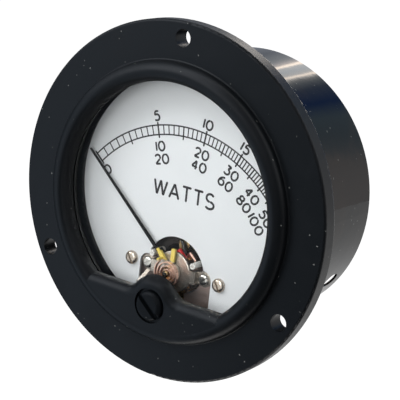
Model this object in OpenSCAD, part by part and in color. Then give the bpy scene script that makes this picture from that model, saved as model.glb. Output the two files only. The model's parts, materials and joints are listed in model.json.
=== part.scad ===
// Round panel meter: a moving-coil movement in a flanged case, read through a round window.
// Millimetres. The dial faces -Y and the barrel goes back along +Y, X is to the reader's right, Z is up.
// The origin is the middle of the flange's back face, which seats on the panel.

/* [Case] */
// Outer diameter of the mounting flange
flange_d = 88.9; // [88:0.1:96]
// Thickness of the mounting flange
flange_t = 4.3; // [3.9:0.1:5.1]
// Diameter of the circle that the mounting holes sit on
bolt_circle_d = 80.8; // [79:0.1:82]
// Diameter of each mounting hole
bolt_hole_d = 4.3; // [3.2:0.1:5]
// Outer diameter of the barrel behind the flange
barrel_d = 69.4; // [69:0.1:71]
// Depth of the barrel behind the flange
barrel_depth = 33.7; // [33.3:0.1:44.3]
// Wall of the barrel
barrel_wall = 0.6; // [0.5:0.1:1.2]
// Diameter of the holes near the barrel's back edge
skirt_hole_d = 4.7; // [3:0.1:5.5]
// Distance of those holes from the barrel's back edge
skirt_hole_inset = 5.4; // [4:0.1:6]

/* [Bezel] */
// Outer diameter of the raised bezel
bezel_d = 69.4; // [68.6:0.1:72]
// Height of the bezel above the flange
bezel_h = 3.0; // [2.7:0.1:3.4]
// Thickness of the bezel over the glass
bezel_wall = 3.4; // [3:0.1:3.8]
// Diameter of the window opening
window_d = 59.4; // [58:0.1:60]
// Fillet where the bezel meets the flange
bezel_fillet = 0.4; // [0.2:0.05:0.5]
// Width of the lip that the glass seats on
seat_lip = 1.6; // [1.2:0.1:1.7]
// Depth of the bridge's straight edge below the middle of the window
bridge_drop = 22.6; // [22:0.1:23.5]
// Radius of the hump round the zero adjuster
hump_r = 7.2; // [6.6:0.1:8]
// Radius of the corner between the hump and the bridge
hump_fillet = 4; // [2.5:0.1:5]
// Rounding of the bridge's front edge
bridge_edge = 2.5; // [1.5:0.1:2.6]
// Depth of the bridge's face below the bezel's crest
bridge_sink = 0.04; // [0.03:0.01:0.4]
// Thickness of the window glass
glass_t = 1.5; // [1:0.1:2]

/* [Dial] */
// Depth of the dial's face behind the flange's back face
dial_y = 2.9; // [2.6:0.1:4.3]
// Thickness of the dial plate
dial_t = 0.6; // [0.4:0.1:0.8]
// Distance between the two dial screws
dial_screw_span = 26.8; // [26:0.1:30]
// Width of the cut-out over the movement
cutout_w = 21.8; // [21.4:0.1:22.4]
// Radius of the arch at the top of the cut-out
arch_r = 8.7; // [8.4:0.1:9.4]
// Length of the posts that carry the dial
dial_post_len = 2.3; // [2:0.1:3]

/* [Movement] */
// Depth of the pivot below the middle of the window
pivot_drop = 18.5; // [18:0.1:19]
// Angle of the pointer at zero, left of upright
zero_angle = 49; // [45:0.5:50]
// Angle of the pointer at full scale, right of upright
full_angle = 51; // [46:0.5:52]
// Turn past each end of the scale before the pointer meets its stop
over_travel = 1.5; // [1:0.5:2.5]
// Length of the pointer from its pivot
pointer_len = 38.3; // [34:0.1:38.6]
// Width of the pointer at its root
pointer_w = 0.9; // [0.6:0.1:1.1]
// Diameter of the iron core
core_d = 9.8; // [9:0.1:10]
// Gap between the core and the poles
air_gap = 1.5; // [1.4:0.05:1.7]
// Length of the poles along the pivot's axis
pole_len = 9; // [8:0.1:10]
// Width of the magnet over both legs
magnet_w = 44; // [40:0.5:46]
// Outer radius of the spiral springs
spring_r = 3.7; // [3:0.1:3.9]
// Turns in each spiral spring
spring_turns = 3; // [2:0.5:4]

/* [Zero adjuster] */
// Depth of the adjuster's axis below the middle of the window
adjuster_drop = 25.5; // [25:0.1:26]
// Diameter of the adjuster's head
adjuster_d = 7.5; // [6:0.1:8]
// Height of the head above the bridge
adjuster_proud = 0.9; // [0.5:0.1:1.4]
// Throw of the adjuster's eccentric pin
eccentric = 0.75; // [0.5:0.05:0.75]

/* [Back] */
// Length of the pillars between the poles and the back plate
pillar_len = 4.3; // [4.2:0.1:5]
// Thickness of the back plate
base_t = 4.2; // [3.5:0.1:5]
// Distance between the terminals
terminal_span = 25.4; // [22:0.1:30]
// Diameter of the terminal studs
stud_d = 4.8; // [4:0.1:6]

/* [Hidden] */
$fn = 96;

// Clearances: a push fit, a running fit, and the room left round parts that move
push_gap = 0.02;
run_gap = 0.05;
free_gap = 0.3;

// Case
flange_edge = 0.6;
bolt_angles = [90, 210, 330];
bolt_places = [for (a = bolt_angles) bolt_circle_d / 2 * [cos(a), sin(a)]];
bolt_rim = 1.2;
skirt_angles = [212, 328];
can_rebate = 0.5;
spigot_len = 8.3;
spigot_wall = 1.4;
spigot_r = barrel_d / 2 - barrel_wall - run_gap;
bezel_front = -(flange_t + bezel_h);
bridge_face = bezel_front + bridge_sink;
lip_back = bezel_front + bezel_wall;
window_r = window_d / 2;
bead_r = (bezel_d - window_d) / 4;
bead_mid = window_r + bead_r;
seat_r = window_r + seat_lip;
body_r = min(seat_r, barrel_d / 2 - barrel_wall);
bridge_z = -bridge_drop;
adjuster_z = -adjuster_drop;
fillet_z = bridge_z + hump_fillet;
fillet_x = sqrt((hump_r + hump_fillet) ^ 2 - (fillet_z - adjuster_z) ^ 2);
blend_gap = 0.02;
past_case = 60;

// Window
glass_r = seat_r - 0.2;
glass_back = lip_back + glass_t;
glass_overlap = 1.3;
ring_t = 0.9;
ring_w = 1.1;
ring_gap_angle = 80;
seat_back = glass_back + ring_t + free_gap;
clip_notch = 0.6;

// Dial, bridge and pointer, from front to back
pivot_z = -pivot_drop;
dial_back = dial_y + dial_t;
dial_r = body_r - free_gap;
shoulder_rise = 2.3;
shoulder_r = 2.4;
pole_front = dial_back + dial_post_len;
pole_back = pole_front + pole_len;
bridge_t = 0.8;
bridge_rise = 1.6;
bridge_pillar_len = 1.5;
bridge_foot_back = pole_front - bridge_pillar_len;
bridge_front = bridge_foot_back - bridge_t - bridge_rise;
bridge_back = bridge_front + bridge_t;
bridge_disc_r = 5.2;
bridge_round = 0.35;
tag_w = 0.9;
tag_t = 0.4;
tag_len = 5.3;
tag_turn = 28.8;
tag_tilt = 19;
tag_root_x = 0.35;
tag_root_z = -1.5;
bridge_arm_w = 3.2;
bridge_foot_x = 8.55;
bridge_foot_r = 2;
bridge_screw_r = 0.8;
bridge_head_r = 1.5;
bridge_head_t = 0.95;
bridge_pillar_r = 1.5;
dial_post_r = 2;
dial_screw_r = 0.9;
dial_head_r = 1.75;
dial_head_t = 1.1;
screw_bite = 2.5;
pointer_t = 0.4;
pointer_gap = 0.9;
pointer_tip_w = 0.45;
blade_back = dial_y - pointer_gap;
blade_front = blade_back - pointer_t;
crank_r = 6.7;
coil_overhang = 1.3;
coil_front = pole_front - coil_overhang;
coil_back = pole_back + coil_overhang;
hub_y = bridge_back + free_gap + pointer_t / 2;
hub_r = 1.7;
arm_r = 0.3;
arm_reach = 5.4;
cross_y = hub_y + pointer_t / 2 + push_gap + arm_r;
weight_r = 0.6;
weight_len = 1.4;
sleeve_r = 0.65;
sleeve_len = 2.9;
sleeve_x = 3.9;
sleeve_y = coil_front - push_gap - sleeve_r;

// Bearings and springs
staff_r = 0.6;
staff_disc_r = 1.6;
staff_disc_t = 0.25;
jewel_r = 0.95;
bush_r = 1.4;
bush_flange_r = 1.9;
bush_flange_t = 0.4;
lever_t = 0.7;
lever_back = bridge_front - 0.2;
lever_front = lever_back - lever_t;
bush_front = lever_front - run_gap - bush_flange_t;
spring_w = 1;
rear_spring_w = 0.45;
spring_t = 0.2;
spring_clear = 0.5;
spring_back = bush_front - spring_clear;
spring_front = spring_back - spring_w;
collet_r = 0.95;
collet_lap = 0.25;
staff_front = spring_front - 0.5;
spring_stud_r = 0.35;
spring_stud_at = spring_r + spring_t / 2 + push_gap + spring_stud_r;
rear_spring_front = coil_back + staff_disc_t + 0.25;
rear_bridge_back = pole_back + pillar_len - 0.8;
rear_bridge_front = rear_bridge_back - bridge_t;
rear_foot_x = 11.5;
rear_leg_x = 8.2;
rear_boss_r = 2.4;
rear_staff_back = rear_bridge_back + 0.4;

// Field system
core_r = core_d / 2;
bore_r = core_r + air_gap;
coil_r = bore_r - 0.4;
former_r = core_r + free_gap;
former_t = 0.25;
former_lap = free_gap + run_gap;
coil_corner = 0.6;
coil_w = 2.6;
pole_half_h = 9.3;
pole_edge_r = body_r - free_gap;
tip_half_gap = 1.55;
spacer_half_w = 1.5;
spacer_top = 9;
core_screw_r = 0.8;
core_screw_tip = 2.5;
core_head_r = 1.4;
core_head_t = 0.9;
magnet_leg = 9.5;
magnet_foot_z = pivot_z + pole_half_h;
magnet_leg_len = 7.2;
magnet_bow_z = magnet_foot_z + magnet_leg_len;

// Stops that the pointer's blade meets
stop_r = bore_r + 0.7;
stop_post_r = 0.4;
stop_sleeve_r = 0.75;
stop_offset = over_travel + asin((pointer_w / 2 + stop_sleeve_r + run_gap) / stop_r);
stop_angles = [-zero_angle - stop_offset, full_angle + stop_offset];
stop_front = blade_front - 0.6;
stop_bite = 1.5;

// Zero adjuster and the lever that its pin moves
recess_depth = 0.9;
recess_gap = 0.7;
recess_r = adjuster_d / 2 + recess_gap;
adjuster_shaft_r = 1.25;
adjuster_front = bridge_face - adjuster_proud;
adjuster_slot_w = 1.3;
adjuster_slot_depth = 1.2;
adjuster_slot_angle = -50;
clip_t = 0.5;
clip_r = 2.4;
clip_slot_w = 1;
clip_front = lip_back + run_gap;
shaft_back = clip_front + clip_t + 0.3;
pin_r = 0.45;
pin_back = lever_back + free_gap;
fork_clear = 0.1;
fork_reach = adjuster_drop + eccentric - pivot_drop;
fork_w = 2.8;
fork_past_pin = 1.1;
fork_slot_before_pin = 0.8;
fork_before_pin = 1.3;
lever_ring_r = 2.4;
lever_arm_w = 1.6;
prong_w = 1.1;
prong_r = 6;
prong_angles = [-43, 2];
prong_tip_w = 0.8;
prong_tip_t = 0.3;
prong_tip_len = 0.9;

// Back
base_front = pole_back + pillar_len;
base_back = base_front + base_t;
base_r = barrel_d / 2 - barrel_wall - 0.1;
case_screw_y = base_front + base_t / 2;
case_screw_r = 1.2;
case_screw_head_r = 2.1;
case_screw_len = 7;
pillar_r = 3;
pillar_inset = 4.5;
pillar_rise = 3.5;
pillar_x = magnet_w / 2 - pillar_inset;
pillar_z = pivot_z + pillar_rise;
movement_screw_r = 1.25;
movement_head_r = 2.4;
movement_head_t = 1.5;
stud_r = stud_d / 2;
stud_head_rim = 1.8;
boss_rim = 3.4;
washer_rim = 2.3;
nut_rim = 2.2;
stud_head_r = stud_r + stud_head_rim;
stud_head_t = 1.4;
boss_r = stud_r + boss_rim;
boss_h = 1.2;
washer_r = stud_r + washer_rim;
washer_t = 0.8;
nut_r = stud_r + nut_rim;
nut_t = 3.1;
nut_apart = 0.6;
stud_tail = 0.9;
stud_back = base_back + boss_h + washer_t + 2 * nut_t + nut_apart + stud_tail;
lead_r = 0.45;
lead_y = pole_front - lead_r - run_gap;
lead_sides = 8;
lead_steps = 4;
front_route = [
    [0.9, lead_y, pivot_z + 4.4], [0.2, lead_y, pivot_z + 6.2],
    [-1.6, lead_y, pivot_z + 9.2], [-3.5, pole_front + 0.5, pivot_z + 13],
    [-6, pole_front + 4, -3], [-8.5, pole_back - 1, -1.2],
    [-terminal_span / 2 + 2, base_front - stud_head_t - 1.2, -1],
    [-terminal_span / 2, base_front - stud_head_t - 0.7, 0]
];
rear_route = [
    [rear_foot_x, pole_back + bridge_t + 1.65, pivot_z],
    [rear_foot_x + 0.8, pole_back + bridge_t + 1.7, pivot_z + 4],
    [rear_foot_x + 1.4, base_front - stud_head_t - 1, pivot_z + 10],
    [terminal_span / 2, base_front - stud_head_t - 0.7, 0]
];

// Placing: a revolved profile (radius, y), an extruded face (x, z) and a rod, all about lines along Y
module turned(x = 0, z = 0) { translate([x, 0, z]) rotate([-90, 0, 0]) rotate_extrude() children(); }
module slab(front, back) {
    translate([0, back, 0]) rotate([90, 0, 0]) linear_extrude(back - front) children();
}
module rod(r, front, back, x = 0, z = 0) {
    translate([x, front, z]) rotate([-90, 0, 0]) cylinder(h = back - front, r = r);
}
module bored_rod(r, bore, front, back, x = 0, z = 0) {
    difference() {
        rod(r, front, back, x, z);
        rod(bore, front - 1, back + 1, x, z);
    }
}
// A part that turns with the pointer, drawn with the pointer upright about the pivot and set to zero
module at_zero() { translate([0, 0, pivot_z]) rotate([0, -zero_angle, 0]) children(); }
module at_pivot() { translate([0, 0, pivot_z]) children(); }
module both_sides(x) { for (side = [-1, 1]) translate([side * x, 0, 0]) children(); }

// Flat shapes
module box(x0, y0, x1, y1) { translate([x0, y0]) square([x1 - x0, y1 - y0]); }
module rounded_box(x0, y0, x1, y1, r) {
    box(x0 + r, y0, x1 - r, y1);
    box(x0, y0 + r, x1, y1 - r);
    for (x = [x0 + r, x1 - r], y = [y0 + r, y1 - r]) translate([x, y]) circle(r);
}
// A box whose corner at its right front is rounded
module front_rounded(x0, y0, x1, y1, r) {
    difference() {
        box(x0, y0, x1, y1);
        difference() {
            box(x1 - r, y0 - 1, x1 + 1, y0 + r);
            translate([x1 - r, y0 + r]) circle(r);
        }
    }
}
// A flat spiral strip that ends at the angle given, counted from upright
function spiral(r0, r1, turns, end_angle, offset, steps) = [
    for (i = [0:steps])
        let (f = i / steps, r = r0 + (r1 - r0) * f + offset, a = end_angle - 360 * turns * (1 - f))
        [r * sin(a), r * cos(a)]
];
module spiral_strip(r0, r1, turns, end_angle) {
    steps = ceil(turns * 28);
    inside = spiral(r0, r1, turns, end_angle, -spring_t / 2, steps);
    outside = spiral(r0, r1, turns, end_angle, spring_t / 2, steps);
    polygon(concat(outside, [for (i = [steps:-1:0]) inside[i]]));
}

// A round lead swept along a smooth curve through the points of its route
function on_curve(p0, p1, p2, p3, t) =
    let (bend = 2 * p0 - 5 * p1 + 4 * p2 - p3, twist = 3 * p1 - p0 - 3 * p2 + p3)
    0.5 * (2 * p1 + (p2 - p0) * t + bend * t ^ 2 + twist * t ^ 3);
function smooth(route) = let (n = len(route) - 1) concat(
    [for (i = [0:n - 1], k = [0:lead_steps - 1])
        on_curve(route[max(i - 1, 0)], route[i], route[i + 1], route[min(i + 2, n)], k / lead_steps)],
    [route[n]]
);
function ring_about(c, along) =
    let (d = along / norm(along), side = cross(d, [1, 0, 0]), a = side / norm(side), b = cross(d, a))
    [for (i = [0:lead_sides - 1]) let (t = 360 * i / lead_sides) c + lead_r * (cos(t) * a + sin(t) * b)];
module lead(route) {
    path = smooth(route);
    n = len(path);
    rings = [for (i = [0:n - 1]) ring_about(path[i], path[min(i + 1, n - 1)] - path[max(i - 1, 0)])];
    sides = [for (i = [0:n - 2], k = [0:lead_sides - 1])
        let (a = i * lead_sides + k, b = i * lead_sides + (k + 1) % lead_sides)
        [b, a, a + lead_sides, b + lead_sides]];
    first_cap = [for (k = [0:lead_sides - 1]) k];
    last_cap = [for (k = [lead_sides - 1:-1:0]) (n - 1) * lead_sides + k];
    polyhedron([for (r = rings, p = r) p], concat([first_cap, last_cap], sides));
}

// Case
module flange_section() {
    difference() {
        union() {
            rounded_box(-flange_d / 2, -flange_t, flange_d / 2, 0, flange_edge);
            box(-spigot_r, -flange_t / 2, spigot_r, spigot_len);
        }
        box(-past_case, -past_case, seat_r, past_case);
        box(0, seat_back, spigot_r - spigot_wall, past_case);
        box(spigot_r, -can_rebate, barrel_d / 2 + run_gap, past_case);
    }
    box(window_r, bezel_front + bead_r, bezel_d / 2, lip_back);
    difference() {
        box(bezel_d / 2 - bezel_fillet, -flange_t - bezel_fillet, bezel_d / 2 + bezel_fillet, lip_back);
        translate([bezel_d / 2 + bezel_fillet, -flange_t - bezel_fillet]) circle(bezel_fillet);
    }
    difference() {
        translate([bead_mid, bezel_front + bead_r]) circle(bead_r);
        box(0, bezel_front + bead_r, past_case, past_case);
    }
}
// The bridge under the window: a straight edge, a hump round the adjuster and hollow corners between them,
// whose faces lie blend_gap inside the edge and the hump so that they meet along clear lines
module bridge_corner() {
    intersection() {
        turned(fillet_x, fillet_z) mirror([1, 0]) front_rounded(
            -past_case, bridge_face + blend_gap, -hump_fillet - blend_gap, lip_back, bridge_edge);
        slab(bridge_face, lip_back)
            polygon([[fillet_x, fillet_z], [fillet_x, -past_case], [0, adjuster_z]]);
    }
}
module bezel_bridge() {
    intersection() {
        slab(bridge_face, lip_back) circle(bead_mid);
        union() {
            translate([-past_case, 0, 0]) rotate([90, 0, 90]) linear_extrude(2 * past_case) mirror([1, -1])
                front_rounded(-past_case, bridge_face, bridge_z, lip_back, bridge_edge);
            turned(0, adjuster_z) front_rounded(0, bridge_face, hump_r, lip_back, bridge_edge);
            for (side = [0, 1]) mirror([side, 0, 0]) bridge_corner();
        }
    }
}
// The part of a rim round each mounting hole that lies outside a small flange
module bolt_eyes() {
    slab(-flange_t, 0) difference() {
        for (p = bolt_places) translate(p) circle(bolt_hole_d / 2 + bolt_rim);
        circle(flange_d / 2 - flange_edge);
    }
}
module front_case() {
    color("#1d1f21") difference() {
        union() {
            turned() flange_section();
            bezel_bridge();
            bolt_eyes();
        }
        for (p = bolt_places) rod(bolt_hole_d / 2, -flange_t - 1, 1, p[0], p[1]);
        rod(adjuster_shaft_r + run_gap, bezel_front - 1, lip_back + 1, 0, adjuster_z);
        rod(recess_r, bezel_front - 1, bridge_face + recess_depth, 0, adjuster_z);
    }
}
// A cut that goes out through the barrel's wall at one of the mounting angles
module wall_cut(a, y, r0, r1, from, to) {
    rotate([0, -a, 0]) translate([from, y, 0]) rotate([0, 90, 0]) cylinder(h = to - from, r1 = r0, r2 = r1);
}
module barrel_can() {
    outer = barrel_d / 2;
    inner = outer - barrel_wall;
    skirt_r = skirt_hole_d / 2;
    screw_hole_r = case_screw_r + run_gap;
    head_slope = (case_screw_head_r - case_screw_r) / (barrel_wall - run_gap);
    sink_r = case_screw_head_r + head_slope * run_gap * 2;
    color("#141517") difference() {
        turned() rounded_box(inner, -can_rebate, outer, barrel_depth, barrel_wall / 4);
        for (a = skirt_angles)
            wall_cut(a, barrel_depth - skirt_hole_inset, skirt_r, skirt_r, inner - 1, outer + 1);
        for (a = bolt_angles) {
            wall_cut(a, case_screw_y, screw_hole_r, screw_hole_r, inner - 1, outer + 1);
            wall_cut(a, case_screw_y, case_screw_r, sink_r, inner, outer + run_gap);
        }
    }
}

// Window
module window_glass() {
    color("#dfe8ea", 0.3) slab(lip_back, glass_back) difference() {
        circle(glass_r);
        box(-past_case, -past_case, past_case, bridge_z - glass_overlap);
        translate([0, adjuster_z]) circle(clip_r + clip_notch);
    }
}
module glass_ring() {
    color("#202224") slab(glass_back, glass_back + ring_t) difference() {
        circle(glass_r);
        circle(glass_r - ring_w);
        polygon([[0, 0], past_case * [sin(-ring_gap_angle / 2), -cos(ring_gap_angle / 2)],
            past_case * [sin(ring_gap_angle / 2), -cos(ring_gap_angle / 2)]]);
    }
}

// Dial
module dial_cutout() {
    half = cutout_w / 2;
    translate([0, pivot_z]) {
        circle(arch_r);
        box(-half, -past_case, half, shoulder_rise - shoulder_r);
        box(shoulder_r - half, -1, half - shoulder_r, shoulder_rise);
        for (side = [-1, 1])
            translate([side * (half - shoulder_r), shoulder_rise - shoulder_r]) circle(shoulder_r);
    }
}
module dial_plate() {
    color("#eceeef") difference() {
        slab(dial_y, dial_back) difference() {
            circle(dial_r);
            dial_cutout();
        }
        both_sides(dial_screw_span / 2) rod(dial_screw_r + run_gap, dial_y - 1, dial_back + 1, 0, pivot_z);
    }
}
// A slotted pan head with its shank, the head's seat at y = 0 and its face towards -Y
module slotted_screw(head_r, head_t, shank_r, shank_len, slot_angle) {
    difference() {
        union() {
            turned() difference() {
                rounded_box(-head_r, -head_t, head_r, head_t, head_t * 0.7);
                box(-head_r - 1, -head_t - 1, 0, head_t + 1);
                box(-1, 0, head_r + 1, head_t + 1);
            }
            rod(shank_r, -head_t / 4, shank_len);
        }
        rotate([0, slot_angle, 0])
            translate([-head_r - 1, -head_t - 1, -head_r * 0.13])
                cube([2 * head_r + 2, 1 + head_t * 0.55, head_r * 0.26]);
    }
}
module dial_screws() {
    color("#c9a66b") both_sides(dial_screw_span / 2) translate([0, dial_y, pivot_z])
        slotted_screw(dial_head_r, dial_head_t, dial_screw_r, dial_t + dial_post_len + screw_bite, 60);
}
module dial_posts() {
    color("#b9b6ae") both_sides(dial_screw_span / 2)
        bored_rod(dial_post_r, dial_screw_r + push_gap, dial_back, pole_front, 0, pivot_z);
}

// Bridge and bearings at the front
// A tag for a lead, cut in one with the left foot and bent forward
module solder_tag() {
    translate([tag_root_x - bridge_foot_x, bridge_foot_back - 0.1, tag_root_z])
        rotate([0, tag_turn, 0]) rotate([-tag_tilt, 0, 0]) translate([-tag_w / 2, -tag_t, -tag_len])
            cube([tag_w, tag_t, tag_len]);
}
module front_bridge() {
    color("#c2bdb3") at_pivot() difference() {
        union() {
            turned() front_rounded(0, bridge_front, bridge_disc_r, bridge_back, bridge_round);
            for (side = [0, 1]) mirror([side, 0, 0]) {
                slab(bridge_front, bridge_back) box(0, -bridge_arm_w / 2, crank_r, bridge_arm_w / 2);
                slab(bridge_front, bridge_foot_back)
                    box(crank_r - bridge_t, -bridge_arm_w / 2, crank_r, bridge_arm_w / 2);
                slab(bridge_foot_back - bridge_t, bridge_foot_back) {
                    box(crank_r - bridge_t, -bridge_arm_w / 2, bridge_foot_x, bridge_arm_w / 2);
                    translate([bridge_foot_x, 0]) circle(bridge_foot_r);
                }
            }
            solder_tag();
        }
        rod(bush_r + push_gap, bridge_front - 1, bridge_back + 1);
        both_sides(bridge_foot_x) rod(bridge_screw_r + run_gap, bridge_front, bridge_foot_back + 1);
    }
}
module bridge_screws() {
    shank_len = bridge_t + bridge_pillar_len + screw_bite;
    color("#cfccc4") both_sides(bridge_foot_x) translate([0, bridge_foot_back - bridge_t, pivot_z])
        slotted_screw(bridge_head_r, bridge_head_t, bridge_screw_r, shank_len, -35);
}
module bridge_pillars() {
    color("#b9b6ae") both_sides(bridge_foot_x)
        bored_rod(bridge_pillar_r, bridge_screw_r + push_gap, bridge_foot_back, pole_front, 0, pivot_z);
}
module front_bush() {
    color("#b08d4f") at_pivot() difference() {
        union() {
            rod(bush_r, bush_front, bridge_back);
            rod(bush_flange_r, bush_front, bush_front + bush_flange_t);
        }
        rod(staff_r + 0.25, bush_front - 1, bridge_front + run_gap);
        rod(jewel_r + push_gap, bridge_front, bridge_back + 1);
    }
}
module front_jewel() {
    color("#a3243b") at_pivot() bored_rod(jewel_r, staff_r + run_gap, bridge_front + run_gap, bridge_back);
}
module at_stops() {
    for (a = stop_angles) translate([stop_r * sin(a), 0, pivot_z + stop_r * cos(a)]) children();
}
module stop_posts() { color("#b9b6ae") at_stops() rod(stop_post_r, stop_front, pole_front + stop_bite); }
module stop_sleeves() {
    color("#f1efe9") at_stops()
        bored_rod(stop_sleeve_r, stop_post_r + push_gap, stop_front, pole_front - run_gap);
}

// Field system
module pole_face() {
    difference() {
        intersection() {
            circle(pole_edge_r);
            box(tip_half_gap, pivot_z - pole_half_h, magnet_w / 2, magnet_foot_z);
        }
        translate([0, pivot_z]) circle(bore_r);
    }
}
// Blind holes for the screws and stops that the poles carry, on both sides
module pole_holes() {
    depth = screw_bite + free_gap;
    front = pole_front - 1;
    back = pole_back + 1;
    both_sides(dial_screw_span / 2) rod(dial_screw_r + push_gap, front, pole_front + depth, 0, pivot_z);
    both_sides(bridge_foot_x) rod(bridge_screw_r + push_gap, front, pole_front + depth, 0, pivot_z);
    both_sides(rear_foot_x) rod(bridge_screw_r + push_gap, pole_back - depth, back, 0, pivot_z);
    at_pillars() rod(movement_screw_r + push_gap, pole_back - depth, back);
    at_stops() rod(stop_post_r + push_gap, front, pole_front + stop_bite + push_gap);
}
module right_pole() {
    color("#a9a49a") difference() {
        slab(pole_front, pole_back) pole_face();
        pole_holes();
    }
}
module left_pole() {
    color("#a9a49a") difference() {
        mirror([1, 0, 0]) slab(pole_front, pole_back) pole_face();
        pole_holes();
    }
}
module magnet() {
    inner = magnet_w / 2 - magnet_leg;
    color("#3a3c40") slab(pole_front, pole_back) difference() {
        union() {
            translate([0, magnet_bow_z]) circle(magnet_w / 2);
            box(-magnet_w / 2, magnet_foot_z, magnet_w / 2, magnet_bow_z);
        }
        translate([0, magnet_bow_z]) circle(inner);
        box(-inner, magnet_foot_z - past_case, inner, magnet_bow_z);
        box(-past_case, magnet_foot_z - past_case, past_case, magnet_foot_z);
    }
}
module at_core_screws() {
    translate([0, (pole_front + pole_back) / 2, pivot_z])
        for (turn = [0, 180]) rotate([0, turn, 0]) children();
}
module iron_core() {
    color("#8d8b87") difference() {
        rod(core_r, pole_front, pole_back, 0, pivot_z);
        at_core_screws() translate([0, 0, core_screw_tip - push_gap])
            cylinder(h = core_r, r = core_screw_r + push_gap);
    }
}
module core_spacers() {
    color("#b8924c") difference() {
        at_pivot() slab(pole_front, pole_back) difference() {
            for (turn = [0, 180]) rotate(turn) box(-spacer_half_w, 0, spacer_half_w, spacer_top);
            circle(core_r + push_gap);
        }
        at_core_screws() cylinder(h = past_case, r = core_screw_r + push_gap);
    }
}
module core_screws() {
    color("#b9b6ae") at_core_screws() {
        translate([0, 0, core_screw_tip]) cylinder(h = spacer_top - core_screw_tip, r = core_screw_r);
        translate([0, 0, spacer_top]) cylinder(h = core_head_t, r = core_head_r);
    }
}

// Bearing and spring at the back
module rear_bridge() {
    half = bridge_arm_w / 2;
    color("#c2bdb3") at_pivot() difference() {
        union() {
            for (side = [0, 1]) mirror([side, 0, 0]) {
                slab(rear_bridge_front, rear_bridge_back) box(0, -half, rear_leg_x + bridge_t, half);
                slab(pole_back, rear_bridge_back) box(rear_leg_x, -half, rear_leg_x + bridge_t, half);
                slab(pole_back, pole_back + bridge_t) {
                    box(rear_leg_x, -half, rear_foot_x, half);
                    translate([rear_foot_x, 0]) circle(half);
                }
            }
            rod(rear_boss_r, rear_bridge_front, rear_bridge_back);
            rod(spring_stud_r, rear_spring_front, rear_bridge_back, spring_stud_at, 0);
        }
        rod(jewel_r + push_gap, rear_bridge_front - 1, rear_bridge_back + 1);
        both_sides(rear_foot_x) rod(bridge_screw_r + run_gap, pole_back - 1, pole_back + bridge_t + 1);
    }
}
module rear_bridge_screws() {
    color("#cfccc4") both_sides(rear_foot_x) translate([0, pole_back + bridge_t, pivot_z]) rotate([0, 0, 180])
        slotted_screw(bridge_head_r, bridge_head_t, bridge_screw_r, bridge_t + screw_bite, 20);
}
module rear_jewel() {
    color("#a3243b") at_pivot() bored_rod(jewel_r, staff_r + run_gap, rear_bridge_front, rear_bridge_back);
}
module rear_spring() {
    color("#b06a3b") at_pivot() slab(rear_spring_front, rear_spring_front + rear_spring_w)
        spiral_strip(collet_r + spring_t / 2 + push_gap, spring_r, spring_turns, 90);
}

// Moving system, drawn upright
module pointer() {
    color("#111214") at_zero() difference() {
        union() {
            slab(hub_y - pointer_t / 2, hub_y + pointer_t / 2) {
                circle(hub_r);
                box(-pointer_w / 2, 0, pointer_w / 2, crank_r + pointer_t / 2);
            }
            slab(blade_front, hub_y + pointer_t / 2)
                box(-pointer_w / 2, crank_r - pointer_t / 2, pointer_w / 2, crank_r + pointer_t / 2);
            slab(blade_front, blade_back) polygon([
                [-pointer_w / 2, crank_r - pointer_t / 2], [pointer_w / 2, crank_r - pointer_t / 2],
                [pointer_tip_w / 2, pointer_len], [-pointer_tip_w / 2, pointer_len]
            ]);
        }
        rod(staff_r + push_gap, hub_y - 2, hub_y + 2);
    }
}
module balance_cross() {
    color("#b5713f") at_zero() difference() {
        union() {
            rod(hub_r, cross_y - arm_r, cross_y + arm_r);
            for (turn = [90, 180, 270]) rotate([0, turn, 0]) translate([0, cross_y, 0])
                cylinder(h = arm_reach, r = arm_r);
        }
        rod(staff_r + push_gap, cross_y - 2, cross_y + 2);
    }
}
module balance_weights() {
    color("#8f8b84") at_zero() for (turn = [90, 180, 270]) rotate([0, turn, 0])
        translate([0, cross_y, arm_reach - weight_len - 0.1]) difference() {
            cylinder(h = weight_len, r = weight_r);
            translate([0, 0, -1]) cylinder(h = weight_len + 2, r = arm_r + push_gap);
        }
}
module coil_loop(outer_r, inner_r, outer_lap, inner_lap, r) {
    translate([0, 0, -coil_w / 2]) linear_extrude(coil_w) difference() {
        rounded_box(-outer_r, pole_front - outer_lap, outer_r, pole_back + outer_lap, r);
        rounded_box(-inner_r, pole_front - inner_lap, inner_r, pole_back + inner_lap, r / 2);
    }
}
module moving_coil() {
    color("#9a4f2b") at_zero()
        coil_loop(coil_r, former_r + former_t, coil_overhang, former_lap + former_t, coil_corner);
}
// The end of the winding, tied across the coil in an insulating sleeve
module coil_sleeve() {
    color("#c0161c") at_zero() translate([sleeve_x, sleeve_y, weight_r + push_gap])
        cylinder(h = sleeve_len, r = sleeve_r);
}
module coil_former() {
    color("#c9cbcc") at_zero()
        coil_loop(former_r + former_t, former_r, former_lap + former_t, former_lap, coil_corner / 2);
}
module front_staff() {
    color("#d4d4d0") at_zero() {
        rod(staff_r, staff_front, coil_front);
        rod(staff_disc_r, coil_front - staff_disc_t, coil_front);
    }
}
module rear_staff() {
    color("#d4d4d0") at_zero() {
        rod(staff_r, coil_back, rear_staff_back);
        rod(staff_disc_r, coil_back, coil_back + staff_disc_t);
    }
}
module front_collet() {
    color("#a5703c") at_zero()
        bored_rod(collet_r, staff_r + push_gap, spring_front - collet_lap, spring_back + collet_lap);
}
module rear_collet() {
    color("#a5703c") at_zero()
        bored_rod(collet_r, staff_r + push_gap, rear_spring_front - collet_lap + push_gap,
            rear_spring_front + rear_spring_w + collet_lap);
}

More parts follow.
